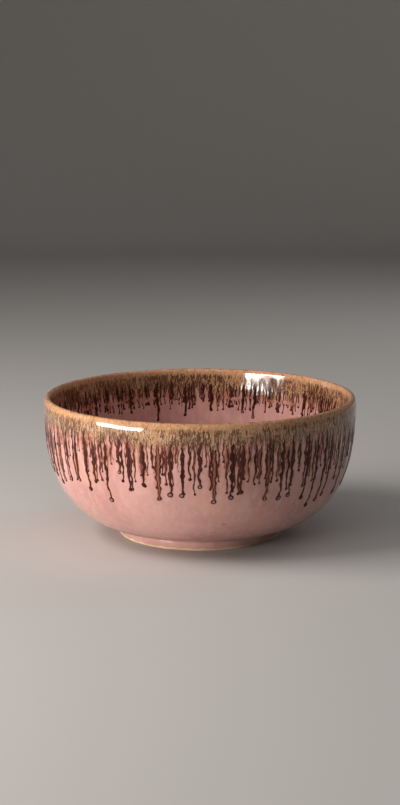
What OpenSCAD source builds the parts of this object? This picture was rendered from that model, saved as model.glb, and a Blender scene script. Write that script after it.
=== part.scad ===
// Glazed stoneware punch bowl.
// A thrown bowl on a low foot ring: steep wall, thin rounded lip, belly turning in to a flat base.
// Pink base coats cover the clay. A tan glaze laps over the lip, and dark runs hang below it.
// Millimetres, +Z up. The origin is on the table, under the middle of the foot.

/* [Bowl] */

// Widest diameter, across the glaze just below the lip
rim_diameter = 280; // [272:1:310]
// Height of the glazed underside of the bowl above the table, at the foot
foot_height = 8.6; // [6:0.2:16]
// Radius of the bare clay lip's rounded edge
lip_radius = 1.4; // [1:0.1:2]

/* [Outside profile] */

// Inward lean of the outside where the lip's rounding starts, in degrees
lip_lean = 15; // [10:0.5:18]
// Radius of the shoulder that turns the lip in
shoulder_arc = 30; // [24:1:34]
// Radius of the arc of the upper wall
wall_arc = 290; // [280:2:300]
// Lean of the wall from upright where the upper arc ends, in degrees
wall_turn = 5.9; // [5:0.1:8]
// Radius of the arc of the belly
belly_arc = 119.5; // [116:0.5:124]
// Lean of the wall where the belly arc ends, in degrees
belly_turn = 24.9; // [23:0.1:27]
// Radius of the arc that turns in to the foot
base_arc = 69; // [67:0.5:71]
// Lean of the outside where it meets the foot, in degrees
base_turn = 81.9; // [80:0.1:83]

/* [Inside profile] */

// Lean of the inside where the lip's rounding starts, in degrees
inner_lip_lean = 6; // [5:0.1:7]
// Radius of the arc of the inside below the lip
inner_lip_arc = 380; // [370:2:390]
// Lean of the inside wall where that arc ends, in degrees
inner_lip_turn = 9.5; // [9:0.1:10]
// Radius of the arc of the inside of the wall
inner_wall_arc = 300; // [290:1:310]
// Lean of the inside wall where its arc ends, in degrees
inner_wall_turn = 15; // [14.5:0.1:15.5]
// Radius of the arc of the inside of the belly
inner_belly_arc = 105; // [103:0.5:107]
// Lean of the inside wall where its belly arc ends, in degrees
inner_belly_turn = 32; // [31:0.1:33]
// Radius of the arc that turns in to the floor
inner_base_arc = 60; // [58:0.5:62]
// Lean of the inside where the nearly flat floor starts, in degrees
inner_base_turn = 87.6; // [86.5:0.1:88]

/* [Foot ring] */

// How far the foot ring stands in from the edge of the bowl's underside
foot_step = 1.1; // [0.9:0.1:3]
// Width of the foot ring, in plan
foot_width = 11; // [8:0.5:16]
// How far the foot's outer face draws in from bottom to top
foot_draft = 0.7; // [0.3:0.1:1]
// Size of the bevels on the edges the bowl stands on
foot_bevel = 1; // [0.5:0.1:1.2]
// Height of the bare clay at the bottom of the foot
bare_height = 1.8; // [1.5:0.1:2.5]

/* [Glaze] */

// Thickness of the pink base coat
coat = 0.6; // [0.5:0.05:0.8]
// Thickness of the tan glaze over the lip, on top of the base coat
rim_coat = 0.6; // [0.5:0.05:0.8]
// How far the tan glaze comes down the outside, from the lip
outside_band = 25; // [20:1:30]
// How far the tan glaze comes down the inside, from the lip
inside_band = 12; // [8:1:16]
// Radius of the fine groove in the coat where the foot meets the bowl
seam_groove = 0.4; // [0.2:0.05:0.45]

/* [Glaze runs] */

// Number of dark runs on the outside
outside_runs = 72; // [36:1:72]
// Number of dark runs on the inside
inside_runs = 60; // [30:1:60]
// Thickness of a run on the base coat
run_coat = 0.9; // [0.7:0.05:1.2]
// Width of a run halfway down
run_width = 2.6; // [2:0.1:2.8]
// Radius of the bead of glaze at the end of a run
bead_radius = 1.9; // [1.6:0.05:2]
// Reach of the shortest outside run below the lip
outside_reach = 42; // [38:1:46]
// How much further than the shortest the longest outside run reaches
outside_spread = 37; // [20:1:40]
// Reach of the shortest inside run below the lip
inside_reach = 24; // [20:1:30]
// How much further than the shortest the longest inside run reaches
inside_spread = 22; // [10:1:26]

/* [Hidden] */

$fn = 96;

// More than any radius or height of the bowl, for cutting planes.
far = 400;
// How far a cutting shape passes the faces that it clips.
clearance = 5;
// Lean of the floor at the axis, where it is level.
level = 90;
// How far a corner stands out over the line where two arcs of a profile meet, to cover it.
proud = 0.005;

rim_radius = rim_diameter / 2;
// Widest radius of the outer face of the base coat.
coat_radius = rim_radius - rim_coat;
// Radius of the lip's rounded edge over the base coat, and over both glazes.
coated_lip = lip_radius + coat;
glazed_lip = coated_lip + rim_coat;

// Profile points are [distance from the axis, height]. Lean is 0 on an upright wall and 90 on a floor.
function lean_out(lean) = [cos(lean), -sin(lean)];
function arc_end(start, radius, from, to) = start + radius * (lean_out(to) - lean_out(from));
function arc_middle(start, radius, from) = start - radius * lean_out(from);
function pushed(point, lean, out) = point + out * lean_out(lean);
function drop(radius, from, to) = radius * (sin(to) - sin(from));

outer_radii = [shoulder_arc, wall_arc, belly_arc, base_arc];
outer_leans = [-lip_lean, 0, wall_turn, belly_turn, base_turn];
outer_drop =
    drop(shoulder_arc, -lip_lean, 0)
    + drop(wall_arc, 0, wall_turn)
    + drop(belly_arc, wall_turn, belly_turn)
    + drop(base_arc, belly_turn, base_turn);
outer_start = [coat_radius - shoulder_arc * (1 - cos(lip_lean)), foot_height + outer_drop];

// Middle of the lip's rounded edge, which the outside and the inside both start from.
lip_middle = pushed(outer_start, -lip_lean, -coated_lip);
lip_height = lip_middle[1];

inner_start = pushed(lip_middle, inner_lip_lean, -coated_lip);
inner_walls = [inner_lip_arc, inner_wall_arc, inner_belly_arc, inner_base_arc];
inner_leans = [
    inner_lip_lean, inner_lip_turn, inner_wall_turn, inner_belly_turn, inner_base_turn, level
];
inner_foot = joint(inner_start, inner_walls, inner_leans, 4);
// The last arc of the inside is centred on the axis, so the floor is level in the middle.
floor_arc = inner_foot[0] / cos(inner_base_turn);
inner_radii = concat(inner_walls, floor_arc);

// The point where arc number k of a profile starts, counted from the lip.
function joint(start, radii, leans, k) =
    k == 0 ? start
    : arc_end(joint(start, radii, leans, k - 1), radii[k - 1], leans[k - 1], leans[k]);

// Level of the clay base, which the foot ring is joined to.
base_level = foot_height + coat * sin(base_turn);
// Outer radius of the foot ring on the table.
foot_radius = joint(outer_start, outer_radii, outer_leans, 4)[0] - foot_step;
foot_top_radius = foot_radius - foot_draft;
foot_inner_radius = foot_radius - foot_width;

// An even scatter of numbers between 0 and 1, the same every time.
function scatter(index, series) =
    let (big = sin(index * 127.1 + series * 311.7) * 43758.5453) big - floor(big);

// The flat slab under an arc: its outer edge is the arc, and it is deeper than the chord.
module arc_slab(middle, radius, from, to) {
    intersection() {
        translate(middle) circle(r = radius);
        arc_gate(middle, radius, from, to);
    }
}

// A four-sided gate between the two ends of an arc, from under its chord to beyond it.
module arc_gate(middle, radius, from, to) {
    half_turn = (to - from) / 2;
    shallow = radius * cos(half_turn) - clearance;
    beyond = radius / cos(half_turn) + clearance;
    polygon([
        pushed(middle, from, shallow),
        pushed(middle, to, shallow),
        pushed(middle, to, beyond),
        pushed(middle, from, beyond)
    ]);
}

// Everything within a profile of arcs, pushed out by a distance. The cap closes the profile
// from its upper end to the axis. A last arc that ends level ends on the axis, so its slab is the
// bottom, and the corners stop within it.
module filled_profile(start, radii, leans, out, cap) {
    arcs = len(radii);
    lowest = leans[arcs] == level ? arcs - 1 : arcs;
    rise = leans[arcs] == level ? clearance / 2 : 0;
    corners = [
        for (k = [lowest : -1 : 0])
            pushed(joint(start, radii, leans, k), leans[k], out + (k > 0 && k < arcs ? proud : 0))
    ];
    polygon(concat([[0, corners[0][1] + rise]], corners, cap));
    for (k = [0 : arcs - 1]) {
        middle = arc_middle(joint(start, radii, leans, k), radii[k], leans[k]);
        arc_slab(middle, radii[k] + out, leans[k], leans[k + 1]);
    }
}

// The inside layers are capped along the line from the lip's middle square to the inside face.
inside_cap = [0, lip_height + lip_middle[0] * tan(inner_lip_lean)];

// A cap that carries a profile on upwards, past whatever it is cut from.
function open_cap(start, lean, out) =
    let (past = pushed(start, lean, out) + clearance * [sin(lean), cos(lean)])
    [past, [0, far]];

module outside_profile(out) {
    filled_profile(outer_start, outer_radii, outer_leans, out, [lip_middle, inside_cap]);
}

module outside_cutter(out) {
    cap = open_cap(outer_start, outer_leans[0], out);
    filled_profile(outer_start, outer_radii, outer_leans, out, cap);
}

module inside_profile(out) {
    filled_profile(inner_start, inner_radii, inner_leans, out, [inside_cap]);
}

module inside_cutter(out) {
    cap = open_cap(inner_start, inner_leans[0], out);
    filled_profile(inner_start, inner_radii, inner_leans, out, cap);
}

// The layer of the lip between two radii about its middle, over a sector between two angles,
// which are measured from the horizontal.
module lip_layer(inner, outer, from, to) {
    beyond = outer / cos((to - from) / 4) + clearance;
    intersection() {
        difference() {
            translate(lip_middle) circle(r = outer);
            translate(lip_middle) circle(r = inner);
        }
        polygon([
            lip_middle,
            lip_middle + beyond * [cos(from), sin(from)],
            lip_middle + beyond * [cos((from + to) / 2), sin((from + to) / 2)],
            lip_middle + beyond * [cos(to), sin(to)]
        ]);
    }
}

// A small square within a layer of the lip, across the line where the layer of the wall starts.
module lip_key(inner, outer, angle) {
    translate(lip_middle + (inner + outer) / 2 * [cos(angle), sin(angle)])
    rotate(angle)
    square((outer - inner) / 2, center = true);
}

outside_angle = lip_lean;
crest_angle = 90;
inside_angle = 180 - inner_lip_lean;

// Clay ------------------------------------------------------------------

module stoneware_body() {
    color("#b98d72")
    rotate_extrude()
    union() {
        difference() {
            outside_profile(-coat);
            inside_cutter(coat);
        }
        translate(lip_middle) circle(r = lip_radius);
    }
}

module foot_section() {
    polygon([
        [foot_inner_radius, foot_bevel],
        [foot_inner_radius + foot_bevel, 0],
        [foot_radius - foot_bevel, 0],
        [foot_radius, foot_bevel],
        [foot_radius, bare_height],
        [foot_top_radius, base_level],
        [foot_inner_radius, base_level]
    ]);
}

module foot_ring() {
    color("#e3c9a6")
    rotate_extrude() foot_section();
}

// Base coats -------------------------------------------------------------

// The coat on the outer face of the foot, down to the bare clay.
module foot_coat_section() {
    polygon([
        [foot_radius, bare_height],
        [foot_radius + coat / 2, bare_height],
        [foot_radius + coat, bare_height + coat / 2],
        [foot_top_radius + coat, base_level],
        [foot_top_radius, base_level]
    ]);
}

module outside_base_glaze() {
    color("#c99a92")
    rotate_extrude()
    difference() {
        union() {
            difference() {
                outside_profile(0);
                outside_cutter(-coat);
                square([foot_top_radius, lip_height / 2]);
            }
            foot_coat_section();
            lip_layer(lip_radius, coated_lip, outside_angle, crest_angle);
            lip_key(lip_radius, coated_lip, outside_angle);
        }
        translate([foot_top_radius + coat, foot_height]) circle(r = seam_groove);
    }
}

module inside_base_glaze() {
    color("#d3a49b")
    rotate_extrude()
    union() {
        difference() {
            inside_profile(coat);
            inside_cutter(0);
        }
        lip_layer(lip_radius, coated_lip, crest_angle, inside_angle);
        lip_key(lip_radius, coated_lip, inside_angle);
    }
}

module underside_base_glaze() {
    color("#bf8f88")
    rotate_extrude()
    polygon([
        [0, base_level],
        [0, base_level - coat],
        [foot_inner_radius - 2 * coat, base_level - coat],
        [foot_inner_radius - coat, base_level - 2 * coat],
        [foot_inner_radius - coat, bare_height],
        [foot_inner_radius, bare_height],
        [foot_inner_radius, base_level]
    ]);
}

// Tan glaze over the lip ---------------------------------------------------

module rim_glaze() {
    color("#b98a55")
    rotate_extrude()
    union() {
        intersection() {
            difference() {
                outside_profile(rim_coat);
                outside_cutter(0);
            }
            translate([0, lip_height - outside_band]) square([far, far]);
        }
        intersection() {
            difference() {
                inside_profile(0);
                inside_cutter(-rim_coat);
            }
            translate([0, lip_height - inside_band]) square([far, far]);
        }
        lip_layer(coated_lip, glazed_lip, outside_angle, inside_angle);
        lip_key(coated_lip, glazed_lip, outside_angle);
        lip_key(coated_lip, glazed_lip, inside_angle);
    }
}

// Dark runs ------------------------------------------------------------------

// Series numbers for the scatter of the runs.
outside_lengths = 1033.942;
outside_places = 1049.506;
inside_lengths = 103;
inside_places = 104;
run_leans = 105;
run_widths = 109;

// How much more common short outside runs are than long ones: 1 is even.
length_bias = 1.15;
// Most that a run moves out of its even place, as a share of the spacing, both ways together.
place_share = 0.45;
// Most that a run leans sideways over its length, both ways together.
lean_spread = 1.2;
// Sideways waver of a run, and how far the waver turns along a run and from run to run, in degrees.
waver = 0.35;
waver_turn = 420;
waver_shift = 83;
// Width of a run's root in its own widths, and the least and the spread of widths in run_width.
root_flare = 1.7;
least_width = 0.75;
width_spread = 0.5;

outside_top = lip_height - outside_band;
inside_top = lip_height - inside_band;

function outside_length(i) =
    outside_reach - outside_band + outside_spread * pow(scatter(i, outside_lengths), length_bias);
function inside_length(i) =
    inside_reach - inside_band + inside_spread * scatter(i, inside_lengths);
// Neighbours stay far enough apart that no two runs touch.
function run_turn(i, runs, places) =
    360 / runs * (i + place_share * (scatter(i, places) - 0.5));

// How far a run has wandered sideways after a share of its length, the bead's centre at the end.
function wander(i, share) =
    lean_spread * (scatter(i, run_leans) - 0.5) * share
    + waver * sin(waver_turn * share + waver_shift * i);

// One run seen square on: a flared root at the top and wavering sides down to the bead.
module run_outline(i, top, length) {
    steps = 3;
    half = run_width / 2 * (least_width + width_spread * scatter(i, run_widths));
    left = [for (k = [1 : steps]) [wander(i, k / steps) - half, top - length * k / steps]];
    right = [for (k = [steps : -1 : 1]) [wander(i, k / steps) + half, top - length * k / steps]];
    polygon(concat([[root_flare * half, top], [-root_flare * half, top]], left, right));
}

// A section [distance from the axis, height] as a straight slab across the front of the bowl.
module across() {
    rotate([90, 0, -90])
    linear_extrude(height = 2 * run_reach, center = true) children();
}

// Half the width of the slab that a run is cut from.
run_reach = 5;

// A layer on a profile between two distances out from it, from one of its arcs to another.
// A small square within the layer joins each arc to the next.
module wall_layer(start, radii, leans, inner, outer, first, last) {
    for (k = [first : last]) {
        middle = arc_middle(joint(start, radii, leans, k), radii[k], leans[k]);
        intersection() {
            difference() {
                translate(middle) circle(r = radii[k] + outer);
                translate(middle) circle(r = radii[k] + inner);
            }
            arc_gate(middle, radii[k], leans[k], leans[k + 1]);
        }
    }
    for (k = [first + 1 : last]) {
        translate(pushed(joint(start, radii, leans, k), leans[k], (inner + outer) / 2))
        rotate(-leans[k])
        square((outer - inner) / 2, center = true);
    }
}

// One run, facing out from the axis at the front: its outline cut from a slab of its layer.
module run(i, top, length) {
    intersection() {
        across() children();
        translate([0, -rim_radius / 2, 0])
        rotate([90, 0, 0])
        linear_extrude(height = rim_radius) {
            run_outline(i, top, length);
            translate([wander(i, 1), top - length]) circle(r = bead_radius);
        }
    }
}

// Lift of the inside runs, so that their straight backs clear the hollow wall.
inside_seat = 0.03;

module outside_glaze_runs() {
    color("#4a1f1d")
    for (i = [0 : outside_runs - 1]) {
        rotate([0, 0, run_turn(i, outside_runs, outside_places)])
        run(i, outside_top, outside_length(i))
        wall_layer(outer_start, outer_radii, outer_leans, 0, run_coat, 1, 3);
    }
}

module inside_glaze_runs() {
    color("#5c2a27")
    for (i = [0 : inside_runs - 1]) {
        rotate([0, 0, run_turn(i, inside_runs, inside_places)])
        run(i, inside_top, inside_length(i))
        wall_layer(inner_start, inner_radii, inner_leans, -run_coat, -inside_seat, 0, 2);
    }
}

stoneware_body();
foot_ring();
outside_base_glaze();
inside_base_glaze();
underside_base_glaze();
rim_glaze();
outside_glaze_runs();
inside_glaze_runs();
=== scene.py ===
import math

import bmesh
import bpy
import numpy as np
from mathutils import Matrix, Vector


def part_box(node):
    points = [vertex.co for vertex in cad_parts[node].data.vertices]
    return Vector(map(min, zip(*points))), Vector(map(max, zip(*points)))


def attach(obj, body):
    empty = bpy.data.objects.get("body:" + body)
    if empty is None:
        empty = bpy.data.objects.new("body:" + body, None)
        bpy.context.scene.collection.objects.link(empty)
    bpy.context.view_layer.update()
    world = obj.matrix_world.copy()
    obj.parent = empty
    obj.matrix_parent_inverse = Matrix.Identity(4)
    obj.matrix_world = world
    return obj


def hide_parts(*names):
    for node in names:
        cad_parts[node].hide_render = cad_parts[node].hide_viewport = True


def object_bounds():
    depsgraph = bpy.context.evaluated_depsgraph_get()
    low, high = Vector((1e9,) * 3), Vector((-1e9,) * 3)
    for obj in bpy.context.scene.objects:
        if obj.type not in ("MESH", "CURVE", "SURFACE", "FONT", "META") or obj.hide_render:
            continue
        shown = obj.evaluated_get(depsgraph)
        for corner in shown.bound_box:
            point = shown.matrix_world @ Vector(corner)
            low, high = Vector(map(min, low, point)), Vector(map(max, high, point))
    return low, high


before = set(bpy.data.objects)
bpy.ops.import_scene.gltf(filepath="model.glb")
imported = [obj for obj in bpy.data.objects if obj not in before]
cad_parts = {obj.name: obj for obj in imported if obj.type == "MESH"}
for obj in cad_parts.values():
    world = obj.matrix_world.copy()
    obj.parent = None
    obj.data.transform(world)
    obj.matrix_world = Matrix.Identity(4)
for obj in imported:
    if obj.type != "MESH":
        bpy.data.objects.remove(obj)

# Glazed stoneware punch bowl: the looks.
# Shapes are worked out in millimetres, in the CAD frame, and written to the meshes in metres.
# A profile runs down from the crest of the lip. Turn is the angle round the bowl in radians,
# 0 at -Y (the side the camera is on) and positive towards +X.

cad_low, cad_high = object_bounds()

# ---------------------------------------------------------------- sizes
MM = 0.001
ROUND = 2 * math.pi
rim_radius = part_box("rim_glaze")[1].x / MM
crest_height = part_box("rim_glaze")[1].z / MM
foot_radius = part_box("foot_ring")[1].x / MM
base_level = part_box("foot_ring")[1].z / MM      # the top of the foot ring

COAT = 0.6                      # the pink coat
RIM_COAT = 0.6                  # the tan glaze over it
LIP = 1.4 + COAT                # the lip's rounded edge, over the pink coat
FOOT_WIDTH = 11.0
FOOT_BEVEL = 1.0
BARE_HEIGHT = 1.8               # bare clay at the bottom of the foot
inner_foot_radius = foot_radius - FOOT_WIDTH

# The wall's arcs, from the lip down. Leans are from upright, in degrees.
OUTER_RADII = [30.0, 290.0, 119.5, 69.0]
OUTER_LEANS = [-15.0, 0.0, 5.9, 24.9, 81.9]
INNER_RADII = [380.0, 300.0, 105.0, 60.0]
INNER_LEANS = [6.0, 9.5, 15.0, 32.0, 87.6]
ARC_STEP, LEAST_ARC_POINTS = 0.2, 6

COLS, RIM_COLS, BODY_COLS = 880, 1000, 240      # columns round the bowl

# Runs of glaze: how many wide ones, finer trickles and faint streaks.
OUTSIDE_RUNS, INSIDE_RUNS = 72, 60
FINE_OUTSIDE, FINE_INSIDE = 190, 210
FAINT_OUTSIDE, FAINT_INSIDE = 150, 120
OUTSIDE_REACH, OUTSIDE_SPREAD = 42, 37          # below the lip: the shortest, and how much more
INSIDE_REACH, INSIDE_SPREAD = 24, 22
OUTSIDE_BAND, INSIDE_BAND = 29.0, 22.0          # how far the tan glaze comes down
OUTSIDE_DEPTH, INSIDE_DEPTH = (27.0, 0.14), (20.0, 0.50)    # how far down it thins, and to what
OUTSIDE_FADE, INSIDE_FADE = 9.0, 8.0            # how softly the rusty glaze ends below a run
VEIL_REACH = 12.0                               # how far to each side of a run it is worked out
# A bead's thin middle is also where a painted highlight goes.
RING_BEAD = 1.75                                # wider beads can have a thin middle


# ---------------------------------------------------------------- profiles
def lean_out(lean):
    a = np.radians(lean)
    return np.stack([np.cos(a), -np.sin(a)], -1)


class Profile:
    """A path of arcs with its normals, looked up by the distance travelled along it."""

    def __init__(self, arcs):
        points, normals = [], []
        for centre, radius, first, last, side in arcs:
            length = abs(radius * math.radians(last - first))
            n = max(LEAST_ARC_POINTS, int(length / ARC_STEP))
            out = lean_out(np.linspace(first, last, n))
            points.append(np.asarray(centre) + radius * out)
            normals.append(side * out)
        self.points, self.normals = np.concatenate(points), np.concatenate(normals)
        step = np.linalg.norm(np.diff(self.points, axis=0), axis=1)
        # The tiny extra keeps the distances rising where two arcs share a point.
        self.along = np.concatenate([[0], np.cumsum(step)]) + 1e-7 * np.arange(len(self.points))
        self.length = self.along[-1]

    def at(self, distance, out=0.0):
        """Radius and height at a distance along the path, pushed out by some amount."""
        d = np.clip(distance, 0, self.length)
        r, z = (np.interp(d, self.along, self.points[:, k]) for k in (0, 1))
        nr, nz = (np.interp(d, self.along, self.normals[:, k]) for k in (0, 1))
        return r + out * nr, z + out * nz

    def down_to(self, height):
        """The distance along the path at which it comes down to a height."""
        return np.interp(-height, -self.points[:, 1], self.along)


def arcs_from(start, radii, leans, side):
    """Arcs that follow each other smoothly, and the point where they end."""
    made, point = [], np.asarray(start, float)
    for k, radius in enumerate(radii):
        centre = point - radius * lean_out(leans[k])
        made.append((centre, radius, leans[k], leans[k + 1], side))
        point = centre + radius * lean_out(leans[k + 1])
    return made, point


# The outside leans in above its widest line. It is lifted so that its crest is at the right height.
start = np.array([rim_radius - RIM_COAT, 0.0])
start += OUTER_RADII[0] * (lean_out(OUTER_LEANS[0]) - lean_out(0.0))
lip_centre = start - LIP * lean_out(OUTER_LEANS[0])
lift = crest_height - (lip_centre[1] + LIP + RIM_COAT)
start[1] += lift
lip_centre[1] += lift
outer_arcs, _ = arcs_from(start, OUTER_RADII, OUTER_LEANS, 1)
outside = Profile([(lip_centre, LIP, -90.0, OUTER_LEANS[0], 1)] + outer_arcs)

# The inside goes down to a floor arc centred on the axis.
inner_start = lip_centre - LIP * lean_out(INNER_LEANS[0])
inner_arcs, inner_foot = arcs_from(inner_start, INNER_RADII, INNER_LEANS, -1)
floor_arc = inner_foot[0] / math.cos(math.radians(INNER_LEANS[-1]))
floor_arcs, _ = arcs_from(inner_foot, [floor_arc], [INNER_LEANS[-1], 90.0], -1)
inside = Profile([(lip_centre, -LIP, 90.0, INNER_LEANS[0], -1)] + inner_arcs + floor_arcs)

# The way from the crest to the wall, outside and inside, and the height of the lip's middle.
lip_length = LIP * math.radians(90 + OUTER_LEANS[0])
inner_lip_length = LIP * math.radians(90 - INNER_LEANS[0])
wall_top = crest_height - LIP - RIM_COAT


# ---------------------------------------------------------------- helpers for numbers
def smooth(x, low, high):
    """0 at low and 1 at high, with soft ends."""
    t = np.clip((x - low) / (high - low), 0, 1)
    return t * t * (3 - 2 * t)


LEVEL = (1e6, 2e6)      # wavelengths up the wall so long that a field doesn't change with height


def waves(turn, height, seed, count, round_range, up_range):
    """A smooth field round the bowl, as a sum of travelling waves: it has no seam."""
    pick = np.random.default_rng(seed)
    total = np.zeros(np.broadcast(turn, height).shape)
    for _ in range(count):
        k = pick.integers(round_range[0], round_range[1] + 1)
        w = ROUND / pick.uniform(*up_range) * pick.choice([-1, 1])
        total += np.sin(k * turn + w * height + pick.uniform(0, ROUND))
    return total / math.sqrt(count / 2)


def scatter(index, series):
    """An even scatter of numbers from 0 to 1, the same each time."""
    big = math.sin(math.radians(index * 127.1 + series * 311.7)) * 43758.5453
    return big - math.floor(big)


def turn_between(turn, other):
    """The signed angle from one turn to another, the short way round."""
    return np.angle(np.exp(1j * (turn - other)))


def turns(cols):
    return np.linspace(0, ROUND, cols, endpoint=False)[None, :]


def spaced(parts):
    """Distances along a path: (start, end, step) triples joined end to end."""
    out = [np.linspace(a, b, max(2, int(round((b - a) / step)) + 1))[:-1] for a, b, step in parts]
    return np.concatenate(out + [[parts[-1][1]]])


# ---------------------------------------------------------------- helpers for meshes
def to_xyz(radius, turn, height):
    return np.stack([radius * np.sin(turn), -radius * np.cos(turn), height], -1) * MM


def new_piece(name, verts, faces, material, attributes):
    mesh = bpy.data.meshes.new(name)
    mesh.from_pydata(verts.reshape(-1, 3).tolist(), [], faces)
    mesh.validate()
    for key, values in attributes.items():
        a = mesh.attributes.new(key, "FLOAT", "POINT")
        a.data.foreach_set("value", np.ascontiguousarray(values, np.float32).ravel())
    mesh.polygons.foreach_set("use_smooth", [True] * len(mesh.polygons))
    mesh.materials.append(material)
    obj = bpy.data.objects.new(name, mesh)
    bpy.context.scene.collection.objects.link(obj)
    return obj


def weld(obj, chosen, distance, face_out=False):
    """Join the chosen vertices that lie within a distance, in metres, of each other."""
    bm = bmesh.new()
    bm.from_mesh(obj.data)
    bm.verts.ensure_lookup_table()
    bmesh.ops.remove_doubles(bm, verts=[bm.verts[k] for k in chosen], dist=distance)
    if face_out:
        bmesh.ops.recalc_face_normals(bm, faces=bm.faces[:])
    bm.to_mesh(obj.data)
    bm.free()


def ring_faces(rows, cols, closed):
    """Quads between rows of a grid that wraps round in its columns, and in its rows if closed."""
    i = np.arange(rows if closed else rows - 1)[:, None]
    j = np.arange(cols)[None, :]
    a = i * cols + j
    b = i * cols + (j + 1) % cols
    c = ((i + 1) % rows) * cols + (j + 1) % cols
    d = ((i + 1) % rows) * cols + j
    return np.stack(np.broadcast_arrays(a, d, c, b), -1).reshape(-1, 4)


def lathe(name, radius, height, material, attributes, poles=()):
    """A closed skin from a loop of rings. Rows listed in poles sit on the axis."""
    rows, cols = radius.shape
    faces = ring_faces(rows, cols, True)
    on_axis = np.isin(faces // cols, list(poles)).all(axis=1)
    verts = to_xyz(radius, turns(cols), height)
    obj = new_piece(name, verts, faces[~on_axis].tolist(), material, attributes)
    if poles:
        weld(obj, [row * cols + j for row in poles for j in range(cols)], 1e-6)
    return obj


def finish_piece(obj, node):
    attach(obj, "root")
    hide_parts(node)


# ---------------------------------------------------------------- where the runs are
class Run:
    """One trickle of glaze, from its top to its end, as distances down from the lip.

    half and bead are half widths, height and bead_height are how far it stands out, and
    hollow, tone and lean say how thin its middle is, how red it is and how it drifts aside.
    """

    def __init__(self, turn, top, end, half, bead, hollow, tone, seed,
                 bead_height, height, lean=0.0):
        self.turn, self.top, self.end = turn, top, end
        self.half, self.bead, self.hollow, self.tone = half, bead, hollow, tone
        self.height, self.bead_height, self.lean = height, bead_height, lean
        self.ring = 1.0 if bead > RING_BEAD and seed % 5 < 3 else 0.0
        pick = np.random.default_rng(seed)
        self.phases = pick.uniform(0, ROUND, 6)
        self.waves = pick.uniform([16, 7.5, 4.2], [26, 11, 6])
        self.sway = pick.uniform([0.25, 0.16, 0.05], [0.75, 0.42, 0.16])

    def share(self, d):
        return (d - self.top) / max(self.end - self.top, 1e-6)

    def aside(self, d):
        """Millimetres to the side of the run's turn at a distance down from the lip."""
        x = self.lean * self.share(d)
        for wave, sway, phase in zip(self.waves, self.sway, self.phases):
            x = x + sway * np.sin(ROUND * d / wave + phase)
        return x

    def half_at(self, d):
        """Half the width at a distance down from the lip, without the bead's rounding."""
        share = np.clip(self.share(d), 0, 1)
        flare = 0.62 + 0.63 * smooth(share, 0, 0.22) - 0.62 * smooth(share, 0.42, 0.88)
        wobble = 1 + 0.22 * np.sin(ROUND * d / 9.1 + self.phases[3])
        wobble = wobble + 0.15 * np.sin(ROUND * d / 4.7 + self.phases[4])
        return self.half * flare * wobble


# These series of the scatter are the CAD's, so that the wide runs lie where their solids are.
OUTSIDE_LENGTHS, OUTSIDE_PLACES = 1033.942, 1049.506
INSIDE_LENGTHS, INSIDE_PLACES = 103, 104
RUN_LEANS, RUN_WIDTHS = 105, 109
LENGTH_BIAS = 1.15              # how much more common short outside runs are than long ones
WIDE_PLACE_SHARE, FINE_PLACE_SHARE, FAINT_PLACE_SHARE = 0.45, 0.8, 0.9
OUTSIDE_BEAD_DROP, INSIDE_BEAD_DROP = 1.5, 2    # how far a bead hangs below the end of its run
HOLLOW_ABOVE = 0.5              # a run more hollow than this is lower in its middle, and wider
LONG_RUN, LONG_RUN_BEAD = 60, 0.5   # a run longer than this has a bead that much bigger


def varied(index, series, least, more):
    """From least to least and more, scattered: each quality of a run has a series of its own."""
    return least + more * scatter(index, series)


def wide_turn(i, runs, places):
    return math.radians(360 / runs * (i + WIDE_PLACE_SHARE * (scatter(i, places) - 0.5)))


def fine_turn(i, runs, places, place_share):
    return ROUND * (i + place_share * (scatter(i, places) - 0.5)) / runs


def below_lip(profile, start, drop):
    """Distance down the wall from where it meets the lip, at a drop below the lip's middle."""
    return float(profile.down_to(wall_top - drop)) - start


def faint_streaks(count, series, shortest, spread, seed):
    """Thin, rusty streaks that fill in between the runs."""
    streaks = []
    for i in range(count):
        half = varied(i, series + 4, 0.34, 0.34)
        streaks.append(Run(
            turn=fine_turn(i, count, series, FAINT_PLACE_SHARE),
            top=varied(i, series + 6, 10, 8), end=varied(i, series + 2, shortest, spread),
            half=half, bead=half + 0.1, hollow=1.0, tone=1.0, seed=seed + i,
            bead_height=0.3, height=0.24))
    return streaks


def outside_run_list():
    """The wide runs, finer trickles between them, and faint streaks."""
    runs = []
    for i in range(OUTSIDE_RUNS):
        drop = OUTSIDE_REACH + OUTSIDE_SPREAD * scatter(i, OUTSIDE_LENGTHS) ** LENGTH_BIAS
        end = below_lip(outside, lip_length, drop) + OUTSIDE_BEAD_DROP
        hollow = 1.0 if scatter(i, 217) > 0.86 else varied(i, 219, 0, 0.2)
        wider = 0.5 * hollow if hollow > HOLLOW_ABOVE else 0.0
        runs.append(Run(
            turn=wide_turn(i, OUTSIDE_RUNS, OUTSIDE_PLACES), top=varied(i, 223, 9, 8), end=end,
            half=varied(i, RUN_WIDTHS, 1.15, 0.55) + wider,
            bead=varied(i, 221, 1.6, 0.8) + (LONG_RUN_BEAD if end > LONG_RUN else 0),
            hollow=hollow, tone=varied(i, 225, 0, 0.5), seed=1000 + i,
            bead_height=0.8, height=0.42, lean=1.2 * (scatter(i, RUN_LEANS) - 0.5)))
    for i in range(FINE_OUTSIDE):
        reach = scatter(i, 303) ** 1.1
        half = varied(i, 307, 0.42, 0.5) + 0.35 * reach
        runs.append(Run(
            turn=fine_turn(i, FINE_OUTSIDE, 301, FINE_PLACE_SHARE),
            top=varied(i, 311, 9, 9), end=29 + 32 * reach,
            half=half, bead=half + varied(i, 309, 0.15, 0.4),
            hollow=varied(i, 305, 0, 0.5), tone=varied(i, 313, 0, 0.85), seed=3000 + i,
            bead_height=0.42, height=0.28))
    return runs + faint_streaks(FAINT_OUTSIDE, 601, 27, 20, 9000)


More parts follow.
